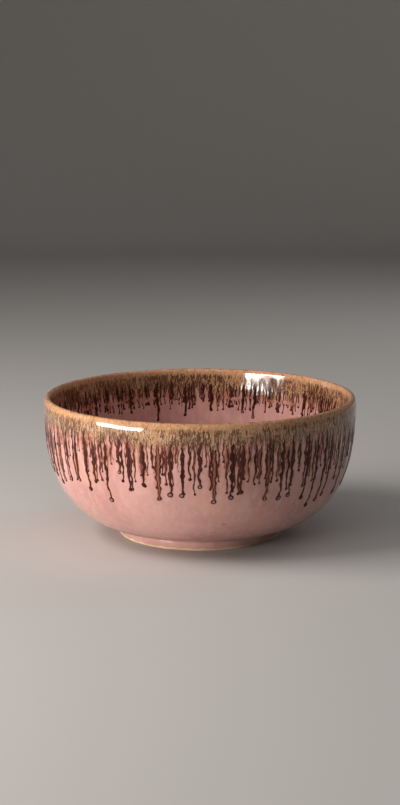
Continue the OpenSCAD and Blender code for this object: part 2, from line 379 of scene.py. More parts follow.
def inside_run_list():
    """The same for the inside, where the runs are shorter."""
    runs = []
    for i in range(INSIDE_RUNS):
        drop = INSIDE_REACH + INSIDE_SPREAD * scatter(i, INSIDE_LENGTHS)
        hollow = 1.0 if scatter(i, 417) > 0.85 else varied(i, 419, 0, 0.2)
        wider = 0.4 * hollow if hollow > HOLLOW_ABOVE else 0.0
        runs.append(Run(
            turn=wide_turn(i, INSIDE_RUNS, INSIDE_PLACES), top=varied(i, 423, 7, 5),
            end=below_lip(inside, inner_lip_length, drop) + INSIDE_BEAD_DROP,
            half=varied(i, RUN_WIDTHS, 1.15, 0.5) + wider, bead=varied(i, 421, 1.4, 0.6),
            hollow=hollow, tone=varied(i, 425, 0, 0.5), seed=5000 + i,
            bead_height=0.7, height=0.4, lean=1.0 * (scatter(i, RUN_LEANS) - 0.5)))
    for i in range(FINE_INSIDE):
        half = varied(i, 507, 0.55, 0.65)
        runs.append(Run(
            turn=fine_turn(i, FINE_INSIDE, 501, FINE_PLACE_SHARE),
            top=varied(i, 511, 7, 6), end=varied(i, 503, 27, 12),
            half=half, bead=half + 0.25,
            hollow=varied(i, 505, 0, 0.4), tone=varied(i, 513, 0, 0.8), seed=7000 + i,
            bead_height=0.4, height=0.28))
    return runs + faint_streaks(FAINT_INSIDE, 701, 22, 15, 9500)


outside_runs = outside_run_list()
inside_runs = inside_run_list()


def veil(turn, down, runs, fade, seed):
    """How much thin rusty glaze lies beside the runs, from 0 to 1."""
    close, wide = np.zeros(down.shape), np.zeros(down.shape)
    for run in runs:
        away = turn_between(turn, run.turn) * rim_radius
        cols = np.abs(away[0]) < VEIL_REACH
        d = down[:, cols]
        x = away[:, cols] - run.aside(np.clip(d, run.top, run.end))
        lasts = 1 - smooth(d, run.end - fade, run.end + 1.0)
        close[:, cols] += np.exp(-(x / (0.7 + run.half)) ** 2) * lasts
        wide[:, cols] += np.exp(-(x / (2.2 + run.half)) ** 2) * lasts
    crowd = np.clip(0.35 + 0.75 * waves(turn, down, seed, 16, (6, 34), (30, 90)), 0, 1)
    return np.clip(0.42 * np.minimum(close, 1.3) + 0.42 * np.minimum(wide, 2.0) * crowd, 0, 1)


def outside_veil(turn, down):
    return veil(turn, down, outside_runs, OUTSIDE_FADE, 71)


def inside_veil(turn, down):
    return veil(turn, down, inside_runs, INSIDE_FADE, 73)


# ---------------------------------------------------------------- materials
class Nodes:
    """A few shorthands for building a node material."""

    def __init__(self, name):
        self.material = bpy.data.materials.new(name)
        self.material.use_nodes = True
        self.tree = self.material.node_tree
        self.tree.nodes.clear()
        out = self.tree.nodes.new("ShaderNodeOutputMaterial")
        self.shader = self.tree.nodes.new("ShaderNodeBsdfPrincipled")
        self.link(self.shader.outputs[0], out.inputs[0])
        self.place = self.tree.nodes.new("ShaderNodeTexCoord").outputs["Object"]

    def link(self, a, b):
        self.tree.links.new(a, b)

    def put(self, socket, value):
        """Links a socket, or sets a number or a colour."""
        if isinstance(value, bpy.types.NodeSocket):
            self.link(value, socket)
        elif isinstance(value, tuple):
            socket.default_value = (*value, 1.0)
        else:
            socket.default_value = value

    def attribute(self, name):
        n = self.tree.nodes.new("ShaderNodeAttribute")
        n.attribute_name = name
        return n.outputs["Fac"]

    def math(self, how, a, b):
        n = self.tree.nodes.new("ShaderNodeMath")
        n.operation = how
        self.put(n.inputs[0], a)
        self.put(n.inputs[1], b)
        return n.outputs[0]

    def stretch(self, x, y, z):
        """The place on the bowl, scaled: a small z draws a pattern out downwards."""
        n = self.tree.nodes.new("ShaderNodeVectorMath")
        n.operation = "MULTIPLY"
        self.link(self.place, n.inputs[0])
        n.inputs[1].default_value = (x, y, z)
        return n.outputs[0]

    def shift(self, vector, amount, by):
        """vector plus amount times the colour of a noise."""
        n = self.tree.nodes.new("ShaderNodeVectorMath")
        n.operation = "MULTIPLY_ADD"
        self.link(by, n.inputs[0])
        n.inputs[1].default_value = (amount, amount, amount)
        self.link(vector, n.inputs[2])
        return n.outputs[0]

    def noise(self, vector, scale, detail=2.0, rough=0.5, distortion=0.0, colour=False):
        n = self.tree.nodes.new("ShaderNodeTexNoise")
        self.link(vector, n.inputs["Vector"])
        n.inputs["Scale"].default_value = scale
        n.inputs["Detail"].default_value = detail
        n.inputs["Roughness"].default_value = rough
        n.inputs["Distortion"].default_value = distortion
        return n.outputs["Color" if colour else "Fac"]

    def cells(self, vector, scale, feature):
        n = self.tree.nodes.new("ShaderNodeTexVoronoi")
        n.feature = feature
        self.link(vector, n.inputs["Vector"])
        n.inputs["Scale"].default_value = scale
        return n.outputs["Distance"]

    def span(self, value, low, high, to_low=0.0, to_high=1.0):
        """Maps low to high onto to_low to to_high, with soft ends."""
        n = self.tree.nodes.new("ShaderNodeMapRange")
        n.interpolation_type = "SMOOTHSTEP"
        self.put(n.inputs["Value"], value)
        ends = {"From Min": low, "From Max": high, "To Min": to_low, "To Max": to_high}
        for key, v in ends.items():
            n.inputs[key].default_value = v
        return n.outputs["Result"]

    def mix(self, amount, a, b):
        """Colour a, going over to colour b."""
        n = self.tree.nodes.new("ShaderNodeMix")
        n.data_type = "RGBA"
        self.put(n.inputs[0], amount)
        self.put(n.inputs[6], a)
        self.put(n.inputs[7], b)
        return n.outputs[2]

    def bump(self, height, strength, distance, normal=None):
        n = self.tree.nodes.new("ShaderNodeBump")
        n.inputs["Strength"].default_value = strength
        n.inputs["Distance"].default_value = distance
        self.link(height, n.inputs["Height"])
        if normal is not None:
            self.link(normal, n.inputs["Normal"])
        return n.outputs[0]

    def done(self, colour, rough, normal=None, coat_weight=0.0, coat_rough=0.05, shine=0.5):
        s = self.shader.inputs
        self.put(s["Base Color"], colour)
        self.put(s["Roughness"], rough)
        s["IOR"].default_value = 1.52
        s["Specular IOR Level"].default_value = shine
        s["Coat Weight"].default_value = coat_weight
        s["Coat Roughness"].default_value = coat_rough
        if normal is not None:
            self.link(normal, s["Normal"])
        return self.material


# The pink coat, and what shows in it.
PINK, PINK_DEEP, PEACH = (0.60, 0.322, 0.282), (0.49, 0.238, 0.212), (0.63, 0.335, 0.25)
PINK_PALE, PINK_GRAIN = (0.68, 0.42, 0.385), (0.38, 0.17, 0.15)
SALMON, RUST = (0.47, 0.19, 0.125), (0.24, 0.072, 0.042)
IRON_SPOT, PINHOLE = (0.10, 0.045, 0.035), (0.05, 0.02, 0.015)
# The groove colour is glaze pooled in the foot's groove, made darker as painted shade under the
# bowl's belly.
GROOVE_POOL_AND_SHADE, THIN_EDGE = (0.16, 0.055, 0.04), (0.60, 0.33, 0.20)
# The tan glaze on the lip, and the cream, ochre and brown below it.
TAN, TAN_WARM, TAN_PALE = (0.50, 0.272, 0.145), (0.55, 0.30, 0.16), (0.68, 0.44, 0.26)
TAN_RUST, TAN_BROWN = (0.27, 0.095, 0.040), (0.17, 0.060, 0.025)
OCHRE, CREAM, OLIVE = (0.47, 0.255, 0.125), (0.64, 0.405, 0.255), (0.36, 0.28, 0.18)
UMBER, NET_DARK, NET_LIGHT = (0.25, 0.12, 0.05), (0.070, 0.023, 0.011), (0.13, 0.052, 0.022)
CREST_DOT = (0.10, 0.03, 0.016)
# The runs.
DARK, BURGUNDY, BROWN = (0.027, 0.0058, 0.0042), (0.085, 0.0165, 0.011), (0.12, 0.048, 0.019)
RUN_STREAK, RUN_EDGE = (0.14, 0.032, 0.020), (0.20, 0.060, 0.040)
# The bead's light middle colour is pink under thin glaze, and partly a painted highlight.
RUN_THIN, RUN_THIN_DEEP, BEAD_MIDDLE_AND_HIGHLIGHT = (0.38, 0.15, 0.11), (0.24, 0.075, 0.05), (0.46, 0.22, 0.19)
# Clay and paper.
CLAY, CLAY_LIGHT = (0.62, 0.44, 0.28), (0.78, 0.62, 0.43)
HIDDEN_CLAY, HIDDEN_CLAY_LIGHT = (0.42, 0.27, 0.17), (0.52, 0.35, 0.23)
PAPER = (0.50, 0.485, 0.465)


def salmon_over(n, base, thin, streak):
    """Thin glaze over the pink: salmon, then rust, in fine upright streaks."""
    uneven = n.math("MULTIPLY", thin, n.span(streak, 0.32, 0.68, 0.45, 1.3))
    base = n.mix(n.span(uneven, 0.10, 0.70, 0, 0.9), base, SALMON)
    return n.mix(n.span(uneven, 0.55, 1.2, 0, 0.85), base, RUST)


def pink_base(n):
    """Dusty pink with soft clouds, peach patches and a fine mottle, and the grain in it."""
    broad = n.noise(n.stretch(1, 1, 0.8), 16, 3, 0.55)
    fine = n.noise(n.stretch(1, 1, 0.4), 190, 3, 0.6)
    grain = n.noise(n.stretch(1, 1, 0.8), 640, 2, 0.6)
    base = n.mix(n.span(broad, 0.32, 0.7), PINK, PINK_DEEP)
    peach = n.span(n.noise(n.stretch(1, 1, 0.7), 22, 2, 0.5, 0.4), 0.50, 0.72)
    base = n.mix(n.math("MULTIPLY", peach, 0.5), base, PEACH)
    base = n.mix(n.span(fine, 0.38, 0.72, 0, 0.4), base, PINK_PALE)
    return n.mix(n.span(grain, 0.5, 0.82, 0, 0.3), base, PINK_GRAIN), grain


def pink_material(name):
    n = Nodes(name)
    base, grain = pink_base(n)
    streak = n.noise(n.stretch(1, 1, 0.11), 300, 3, 0.62, 0.3)
    base = salmon_over(n, base, n.attribute("veil"), streak)
    specks = n.span(n.cells(n.stretch(1, 1, 1), 95, "F1"), 0.10, 0.05)
    some = n.span(n.noise(n.stretch(1, 1, 1), 40, 0), 0.60, 0.66)
    base = n.mix(n.math("MULTIPLY", n.math("MULTIPLY", specks, some), 0.6), base, IRON_SPOT)
    base = n.mix(n.attribute("pinhole"), base, PINHOLE)
    # Darker groove at the top of the foot: pooled glaze, and painted shade under the bowl's belly.
    base = n.mix(n.attribute("groove"), base, GROOVE_POOL_AND_SHADE)
    base = n.mix(n.attribute("thin_edge"), base, THIN_EDGE)
    rough = n.span(n.noise(n.stretch(1, 1, 0.6), 120, 3, 0.6), 0.3, 0.7, 0.13, 0.24)
    normal = n.bump(n.noise(n.stretch(1, 1, 0.6), 90, 3, 0.5), 0.10, 0.0006)
    normal = n.bump(grain, 0.05, 0.0003, normal)
    return n.done(base, rough, normal, coat_weight=0.25, coat_rough=0.06)


def rim_material(name):
    n = Nodes(name)
    down, thin = n.attribute("down"), n.attribute("thin")
    brown, veiled = n.attribute("brown"), n.attribute("veil")
    warp = n.noise(n.stretch(1, 1, 0.5), 300, 2, 0.5, colour=True)
    net = n.cells(n.shift(n.stretch(1, 1, 0.34), 0.0022, warp), 760, "DISTANCE_TO_EDGE")
    streak = n.noise(n.stretch(1, 1, 0.22), 900, 3, 0.7, 0.5)
    coarse = n.noise(n.stretch(1, 1, 0.12), 360, 3, 0.65, 0.3)
    patch = n.noise(n.stretch(1, 1, 0.7), 55, 3, 0.6)
    flecks = n.noise(n.stretch(1, 1, 0.6), 900, 2, 0.7)
    specks = n.noise(n.stretch(1, 1, 0.7), 430, 3, 0.7)
    # The lip: tan, with rust flecks.
    tan = n.mix(n.span(patch, 0.35, 0.68), TAN, TAN_WARM)
    tan = n.mix(n.span(specks, 0.54, 0.66, 0, 0.7), tan, TAN_RUST)
    tan = n.mix(n.span(flecks, 0.55, 0.68, 0, 0.5), tan, TAN_BROWN)
    tan = n.mix(n.span(specks, 0.46, 0.34, 0, 0.6), tan, TAN_PALE)
    # Below it: cream and ochre in a brown net, drawn out downwards.
    light = n.mix(n.span(coarse, 0.40, 0.62), OCHRE, CREAM)
    light = n.mix(n.span(patch, 0.52, 0.66, 0, 0.6), light, OLIVE)
    light = n.mix(n.span(flecks, 0.56, 0.70, 0, 0.5), light, UMBER)
    dark = n.mix(n.span(patch, 0.40, 0.62), NET_DARK, NET_LIGHT)
    amount = n.math("ADD", n.math("MULTIPLY", streak, 0.60), n.math("MULTIPLY", coarse, 0.40))
    amount = n.math("ADD", amount, n.span(net, 0.20, 0.02, 0, 0.06))
    amount = n.math("ADD", amount, n.math("MULTIPLY", brown, 0.14))
    mottled = n.mix(n.span(amount, 0.49, 0.61, 0, 0.97), light, dark)
    from_lip = n.math("ADD", down, n.math("MULTIPLY", coarse, 0.2))
    body = n.mix(n.span(from_lip, 0.20, 0.29), tan, mottled)
    # Lower still the glaze thins to upright streaks, and the pink shows between them.
    pink, _ = pink_base(n)
    under = salmon_over(n, pink, veiled, streak)
    ragged = n.math("ADD", thin, n.math("MULTIPLY", coarse, 3.0))
    ragged = n.math("ADD", ragged, n.math("MULTIPLY", streak, 1.2))
    body = n.mix(n.span(ragged, 2.48, 2.85), body, under)
    # Dark dots along the crest.
    dots = n.span(n.noise(n.stretch(1, 1, 1), 330, 2), 0.53, 0.60)
    dots = n.math("MULTIPLY", dots, n.span(down, 0.05, 0.0))
    body = n.mix(n.math("MULTIPLY", dots, 0.85), body, CREST_DOT)
    rough = n.span(patch, 0.3, 0.7, 0.07, 0.12)
    normal = n.bump(coarse, 0.04, 0.0004)
    normal = n.bump(n.noise(n.stretch(1, 1, 0.5), 90, 2), 0.05, 0.0004, normal)
    return n.done(body, rough, normal, coat_weight=0.3, coat_rough=0.04)


def run_material(name):
    n = Nodes(name)
    across, down = n.attribute("across"), n.attribute("down")
    hollow, tone, ring = n.attribute("hollow"), n.attribute("tone"), n.attribute("ring")
    streak = n.noise(n.stretch(1, 1, 0.2), 520, 3, 0.6, 0.4)
    dark = n.mix(n.math("MULTIPLY", tone, 0.8), DARK, BURGUNDY)
    dark = n.mix(n.span(streak, 0.54, 0.74, 0, 0.45), dark, RUN_STREAK)
    # A thin middle, the thin middle of a bead, lighter also as a painted highlight, and the thin
    # edges.
    middle = n.math("MULTIPLY", n.span(across, 0.60, 0.22), hollow)
    middle = n.math("MULTIPLY", middle, n.span(streak, 0.34, 0.60, 0.25, 0.9))
    body = n.mix(middle, dark, n.mix(n.span(streak, 0.4, 0.7), RUN_THIN, RUN_THIN_DEEP))
    # Ringed beads get a lighter middle: thin glaze, and a painted highlight.
    body = n.mix(n.math("MULTIPLY", ring, 0.9), body, BEAD_MIDDLE_AND_HIGHLIGHT)
    body = n.mix(n.span(across, 0.80, 1.0, 0, 0.45), body, RUN_EDGE)
    # The root comes out of the lip glaze, so it starts brown and ochre.
    ochre = n.mix(n.span(streak, 0.40, 0.58), BROWN, OCHRE)
    root = n.span(n.math("ADD", down, n.math("MULTIPLY", streak, 0.25)), 0.22, 0.10)
    body = n.mix(n.math("MULTIPLY", root, 0.75), body, ochre)
    rough = n.span(streak, 0.3, 0.7, 0.12, 0.20)
    return n.done(body, rough, n.bump(streak, 0.08, 0.0004), shine=0.18)


def clay_material(name, colour, light):
    n = Nodes(name)
    grit = n.noise(n.stretch(1, 1, 1), 900, 3, 0.7)
    rings = n.noise(n.stretch(0.15, 0.15, 1), 520, 2, 0.6)
    broad = n.noise(n.stretch(1, 1, 1), 40, 3, 0.6)
    base = n.mix(n.span(broad, 0.3, 0.7), colour, light)
    base = n.mix(n.span(grit, 0.55, 0.75, 0, 0.5), base, tuple(0.55 * c for c in colour))
    normal = n.bump(grit, 0.35, 0.0004)
    normal = n.bump(rings, 0.25, 0.0005, normal)
    return n.done(base, n.span(grit, 0.3, 0.7, 0.62, 0.85), normal)


pink_outside = pink_material("pink_glaze_outside")
pink_inside = pink_material("pink_glaze_inside")
rim_look = rim_material("tan_rim_glaze")
run_look = run_material("dark_glaze_runs")
bare_clay = clay_material("bare_stoneware", CLAY, CLAY_LIGHT)
covered_clay = clay_material("stoneware_under_glaze", HIDDEN_CLAY, HIDDEN_CLAY_LIGHT)


# ---------------------------------------------------------------- the pink coats
THROWN_STEP = 11.0              # between one throwing ring and the next
BACK_ROWS = 30                  # rows up the hidden side of a coat


def thrown(turn, d, seed, amount):
    """The slight unevenness of a thrown and glazed wall."""
    rings = 0.5 * np.sin(ROUND * d / THROWN_STEP + 0.5 * np.sin(turn * 2) + seed)
    return amount * (rings * 0.5 + 0.8 * waves(turn, d, seed, 14, (0, 9), (40, 160)) * 0.5)


def outside_uneven(turn, d):
    share = smooth(d, 4, 20) * (1 - smooth(d, outside.length - 16, outside.length - 2))
    return thrown(turn, d, 3, 0.16) * share


def inside_uneven(turn, d):
    share = smooth(d, 24, 50) * (1 - smooth(d, inside.length - 40, inside.length - 4))
    return thrown(turn, d, 5, 0.2) * share


def coat_marks(rows, **placed):
    """The marks on a pink coat, each given as its first row and its values, and 0 elsewhere."""
    marks = {key: np.zeros((rows, COLS)) for key in ("veil", "pinhole", "groove", "thin_edge")}
    for key, (first, values) in placed.items():
        marks[key][first:first + len(values)] = values
    return marks


HOLE_TURN = math.radians(9.6)   # the one pinhole in the outside
HOLE_DOWN, HOLE_WIDE, HOLE_TALL, HOLE_DEEP = 91.0, 1.6, 0.7, 0.25
HOLE_RADIUS = 105               # of the bowl, where the pinhole is


def pinhole(turn, down):
    """1 in the middle of the pinhole and 0 away from it."""
    aside = turn_between(turn, HOLE_TURN) * HOLE_RADIUS / HOLE_WIDE
    return np.exp(-(aside ** 2 + ((down - HOLE_DOWN) / HOLE_TALL) ** 2))


def foot_side(end_r, end_z):
    """Radius, height and groove darkening: a turned groove, darkened for the glaze pooled in it and
    as painted shade under the bowl's belly, the coat on the foot, and its lower edge.
    """
    side = foot_radius + COAT
    return np.array([
        [end_r - 0.45, end_z - 0.05, 0.6],
        [side - 1.0, base_level - 0.75, 1.0],
        [side - 0.95, base_level - 1.05, 1.0],
        [side - 0.45, base_level - 1.35, 0.5],
        [side - 0.30, base_level - 1.9, 0.0],
        [side - 0.20, base_level - 3.4, 0.0],
        [side - 0.08, base_level - 5.0, 0.0],
        [side - 0.02, BARE_HEIGHT + 1.1, 0.0],
        [side - 0.03, BARE_HEIGHT + 0.55, 0.0],
        [side - 0.16, BARE_HEIGHT + 0.22, 0.0],
        [side - 0.42, BARE_HEIGHT + 0.02, 0.0],
    ])


def outside_coat():
    """The wall, the foot's side down to a wavy edge, and back up under the coat."""
    turn = turns(COLS)
    flat = np.ones_like(turn)
    d = spaced([(0, lip_length, 0.5), (lip_length, 80, 1.35), (80, outside.length, 1.6)])[:, None]
    down = (d - lip_length) * flat
    hole = pinhole(turn, down)
    face_r, face_z = outside.at(d * flat, outside_uneven(turn, d))
    face_r = face_r - HOLE_DEEP * hole
    low = foot_side(face_r[-1].mean(), face_z[-1].mean())
    edge_share = smooth(base_level - low[:, 1], 6.2, 7.3)[:, None]
    wavy = 0.22 * waves(turn, np.zeros((1, 1)), 11, 12, (3, 40), LEVEL)
    low_r = low[:, :1] + 0 * turn
    low_z = low[:, 1:2] + edge_share * (wavy + 0.12)
    tuck_r = np.array([foot_radius - 0.2, foot_radius - 1.4])[:, None] * flat
    tuck_z = np.array([BARE_HEIGHT + 0.4, base_level + 0.1])[:, None] * flat
    back_d = np.linspace(outside.length - 3, 0, BACK_ROWS)[:, None]
    back_r, back_z = outside.at(back_d * flat, -COAT)
    radius = np.concatenate([face_r, low_r, tuck_r, back_r])
    height = np.concatenate([face_z, low_z, tuck_z, back_z])
    marks = coat_marks(len(radius),
                       veil=(0, outside_veil(turn, down)),
                       pinhole=(0, np.clip(hole * 1.4, 0, 1)),
                       groove=(len(face_r), low[:, 2:3] * flat),
                       thin_edge=(len(face_r), edge_share * flat * 0.85))
    return lathe("outside_base_glaze_coat", radius, height, pink_outside, marks)


def inside_coat():
    """The inside, down to the middle of the floor, and back up under the coat."""
    turn = turns(COLS)
    flat = np.ones_like(turn)
    lip_rows, wall_rows = (0, inner_lip_length, 0.5), (inner_lip_length, 55, 1.35)
    d = spaced([lip_rows, wall_rows, (55, inside.length, 2.2)])[:, None]
    face_r, face_z = inside.at(d * flat, inside_uneven(turn, d))
    back_d = np.linspace(inside.length, 0, BACK_ROWS)[:, None]
    back_r, back_z = inside.at(back_d * flat, -COAT)
    radius, height = np.concatenate([face_r, back_r]), np.concatenate([face_z, back_z])
    marks = coat_marks(len(radius), veil=(0, inside_veil(turn, (d - inner_lip_length) * flat)))
    return lathe("inside_base_glaze_coat", radius, height, pink_inside, marks,
                 poles=(len(face_r) - 1, len(face_r)))


COVE_OUT, COVE_IN = 3.2, 2.6    # the cove at the underside's edge: where it starts, and its radius
SWIRL, SWIRL_STEP = 0.14, 7.5   # a faint turned spiral, and the distance between its rounds
UNDER_ROWS, UNDER_WALL_ROWS = 34, 5


def underside_coat():
    """Within the foot ring: a floor with a faint swirl, a cove, and the ring's inner wall."""
    turn = turns(COLS)
    flat = np.ones_like(turn)
    floor_r = np.linspace(0, inner_foot_radius - COVE_OUT, UNDER_ROWS)
    floor_z = np.full(UNDER_ROWS, base_level - COAT)
    curve = np.linspace(0, math.pi / 2, 8)[1:]
    cove_r = inner_foot_radius - COVE_OUT + COVE_IN * np.sin(curve)
    cove_z = base_level - COAT - COVE_IN * (1 - np.cos(curve))
    wall_r = np.full(UNDER_WALL_ROWS, inner_foot_radius - COAT)
    wall_z = np.linspace(cove_z[-1] - 0.8, BARE_HEIGHT + 0.5, UNDER_WALL_ROWS)
    face_r = np.concatenate([floor_r, cove_r, wall_r, [inner_foot_radius - 0.3]])[:, None] * flat
    face_z = np.concatenate([floor_z, cove_z, wall_z, [BARE_HEIGHT]])[:, None] * flat
    swirl = SWIRL * np.sin(ROUND * floor_r[:, None] / SWIRL_STEP + turn)
    swirl_share = smooth(floor_r, 2, 12) * (1 - smooth(floor_r, 52, 58))
    face_z[:UNDER_ROWS] += swirl * swirl_share[:, None]
    back_r = np.array([inner_foot_radius - 0.02, inner_foot_radius - 0.02, 30, 0])[:, None] * flat
    back_z = np.array([BARE_HEIGHT] + [base_level - 0.02] * 3)[:, None] * flat
    radius, height = np.concatenate([face_r, back_r]), np.concatenate([face_z, back_z])
    return lathe("underside_base_glaze_coat", radius, height, pink_outside,
                 coat_marks(len(radius)), poles=(0, len(radius) - 1))


finish_piece(outside_coat(), "outside_base_glaze")
finish_piece(inside_coat(), "inside_base_glaze")
finish_piece(underside_coat(), "underside_base_glaze")


# ---------------------------------------------------------------- the foot ring and the clay body
WORN = 0.06                     # how uneven the bare clay of the foot is
WALL_ROWS = 90
UNDER_COAT = COAT + 0.02        # the clay starts this far under the coat's face


def foot_ring():
    """A ring with bevelled lower edges that draws in a little towards its top."""
    inner_flat, outer_flat = inner_foot_radius + FOOT_BEVEL, foot_radius - FOOT_BEVEL
    corner = np.linspace(0, math.pi / 2, 6)
    ring = [(inner_foot_radius, base_level), (inner_foot_radius, BARE_HEIGHT)]
    for a in corner:
        ring.append((inner_flat - FOOT_BEVEL * math.cos(a), FOOT_BEVEL - FOOT_BEVEL * math.sin(a)))
    ring += [(x, 0.0) for x in np.linspace(inner_flat, outer_flat, 7)[1:-1]]
    for a in corner:
        ring.append((outer_flat + FOOT_BEVEL * math.sin(a), FOOT_BEVEL - FOOT_BEVEL * math.cos(a)))
    ring += [(foot_radius, BARE_HEIGHT), (foot_radius - 0.1, BARE_HEIGHT + 0.8)]
    ring += [(foot_radius - 0.7, base_level)]
    radius, height = np.array(ring)[:, :1], np.array(ring)[:, 1:2]
    turn = turns(COLS)
    # Flat where it stands on the table, and hidden by the coat higher up.
    bare = (height >= 0.01) * (height < 4)
    worn = WORN * waves(turn, radius, 21, 10, (2, 30), (3, 9)) * bare
    return lathe("foot_ring_clay", radius + worn, height + 0 * turn, bare_clay, {})


def clay_body():
    """The outside down to the foot, the flat base, and the inside back up."""
    none = 0 * turns(BODY_COLS)
    out_d = np.linspace(0, outside.length - 2.5, WALL_ROWS)[:, None]
    in_d = np.linspace(inside.length, 0, WALL_ROWS)[:, None]
    out_r, out_z = outside.at(out_d + none, -UNDER_COAT)
    in_r, in_z = inside.at(in_d + none, -UNDER_COAT)
    base_r = np.array([foot_radius - 1.5, 30, 0])[:, None] + none
    base_z = np.array([base_level + 0.01] * 3)[:, None] + none
    radius, height = np.concatenate([out_r, base_r, in_r]), np.concatenate([out_z, base_z, in_z])
    return lathe("stoneware_body_clay", radius, height, covered_clay, {},
                 poles=(WALL_ROWS + 2, WALL_ROWS + 3))


finish_piece(foot_ring(), "foot_ring")
finish_piece(clay_body(), "stoneware_body")


# ---------------------------------------------------------------- the tan glaze over the lip
SUNK, BACK_SHORT = 0.14, 0.3    # its back lies in the pink coat, and stops short of its edge
DOWN_SCALE = 40                 # the look's "down" is 1 at this distance from the crest


def band_edge(x, runs, base, seed, tongue, rough):
    """How far below the lip the tan glaze reaches, with a tongue at the root of each run."""
    edge = base + rough * waves(x, 0 * x, seed, 18, (2, 26), LEVEL)
    edge = edge + 0.5 * waves(x, 0 * x, seed + 1, 18, (60, 190), LEVEL)
    reach = np.zeros_like(x)
    for run in runs:
        away = turn_between(x, run.turn) * rim_radius - run.aside(base)
        size = tongue * (0.45 + 0.55 * min(1.0, run.half))
        reach = np.maximum(reach, size * np.exp(-(away / (1.0 + run.half)) ** 2))
    return edge + reach


def rim_depth(dist, reach, least):
    """Thickness of the tan glaze at a distance from the crest: it thins towards its reach."""
    return least + (RIM_COAT - least) * (1 - smooth(dist, 0.3 * reach, reach))


def rim_skin(turn, dist, edge, depth, seed):
    """Thickness of the tan glaze: even over the lip, streaked below, rounded off at its edge."""
    left = edge - dist
    body = rim_depth(dist, *depth)
    body = body + 0.03 * waves(turn, dist, seed, 30, (50, 210), (30, 90)) * smooth(dist, 6, 14)
    body = body + 0.02 * waves(turn, dist, seed + 2, 20, (3, 40), (20, 60))
    meniscus = np.sqrt(np.clip(1 - np.clip(1 - left / 1.6, 0, 1) ** 2, 0, 1))
    skin = np.minimum(np.clip(body, 0.05, RIM_COAT + 0.05) * meniscus, RIM_COAT + 0.02)
    skin = skin - 0.12 * (left < 0.02)      # the very edge dips into the coat below
    streaked = smooth(dist, 0.5, 4)
    return RIM_COAT * (1 - streaked) + skin * streaked


def rim_glaze():
    """The skin up the inside, over the crest and down the outside, and its back."""
    turn = turns(RIM_COLS)
    out_end = lip_length + band_edge(turn[0], outside_runs, OUTSIDE_BAND, 31, 7.0, 1.6)
    in_end = inner_lip_length + band_edge(turn[0], inside_runs, INSIDE_BAND, 41, 5.0, 1.4)
    # Rows from the crest, closer together towards the edge, with one more just before it.
    share = 1 - (1 - np.linspace(0, 1, 44)) ** 1.15
    share = np.concatenate([share[:-1], [1 - 0.35 * (1 - share[-2]), 1.0]])[:, None]
    out_d, in_d = share * out_end, (share[::-1] * in_end)[:-1]
    out_t = rim_skin(turn, out_d, out_end, OUTSIDE_DEPTH, 51)
    in_t = rim_skin(turn, in_d, in_end, INSIDE_DEPTH, 61)
    out_r, out_z = outside.at(out_d, out_t + outside_uneven(turn, out_d))
    in_r, in_z = inside.at(in_d, in_t + inside_uneven(turn, in_d))
    back_share = np.linspace(1, 0, 10)[:, None]
    back_out_r, back_out_z = outside.at(back_share * (out_end - BACK_SHORT), -SUNK)
    back_in_r, back_in_z = inside.at(back_share[::-1][1:] * (in_end - BACK_SHORT), -SUNK)
    radius = np.concatenate([in_r, out_r, back_out_r, back_in_r])
    height = np.concatenate([in_z, out_z, back_out_z, back_in_z])
    # Where the glaze thins and where it is browner, in waves round the bowl.
    out_fade = 1.5 * waves(turn, 0 * out_d, 83, 24, (6, 60), LEVEL)
    in_fade = 1.0 * waves(turn, 0 * in_d, 87, 24, (6, 60), LEVEL)
    out_thin = smooth(out_d, 9 + out_fade, 30 + out_fade)
    in_thin = smooth(in_d, 14 + in_fade, 31 + in_fade)
    out_brown = 0.2 + 0.5 * smooth(out_d, 8, 26)
    out_brown = out_brown + 0.15 * waves(turn, out_d, 81, 14, (3, 16), (40, 120))
    in_brown = 0.42 + 0.15 * waves(turn, in_d, 85, 14, (3, 16), (40, 120))
    out_veil = outside_veil(turn, out_d - lip_length)
    in_veil = inside_veil(turn, in_d - inner_lip_length)
    behind = np.ones((len(back_out_r) + len(back_in_r), RIM_COLS))
    return lathe("rim_glaze_lip", radius, height, rim_look, {
        "down": np.concatenate([in_d, out_d, 20 * behind]) / DOWN_SCALE,
        "thin": np.concatenate([in_thin, out_thin, behind]),
        "brown": np.concatenate([in_brown, out_brown, behind]),
        "veil": np.concatenate([in_veil, out_veil, behind]),
    })


finish_piece(rim_glaze(), "rim_glaze")


# ---------------------------------------------------------------- the dark runs
BEAD_ROWS = np.array([0.0, 0.08, 0.22, 0.42, 0.65, 0.9, 1.15, 1.4, 1.65, 1.95, 2.3, 2.8])
ROW_STEP, LEAST_ROWS = 1.3, 6
WIDE_HALF, WIDE_COLUMNS, NARROW_COLUMNS = 0.92, 9, 7
ROOT_LENGTH, ROOT_HEIGHT = 9, 0.12
UNDER_FACE = 0.05               # how far a run's edges lie below the glaze's face


def ring_share(rows, bead, across):
    """1 in the thin middle of a bead of glaze, where it also gets a painted highlight, 0 on its
    thick rim and up the run.
    """
    away = np.hypot((rows[:, None] / bead - 1.0), across[None, :])
    return 1 - smooth(away, 0.25, 0.62)


def ribbon_faces(n, m):
    """Quads over the face, a strip of them behind it, and one face across the top."""
    i, j = np.arange(n - 1)[:, None], np.arange(m - 1)[None, :]
    a = i * m + j
    quads = np.stack([a, a + 1, a + m + 1, a + m], -1).reshape(-1, 4)
    k = np.arange(n - 1) * m
    back = np.stack([k + m - 1, k, k + m, k + 2 * m - 1], -1)
    return quads.tolist() + back.tolist() + [list(range((n - 1) * m, n * m))]


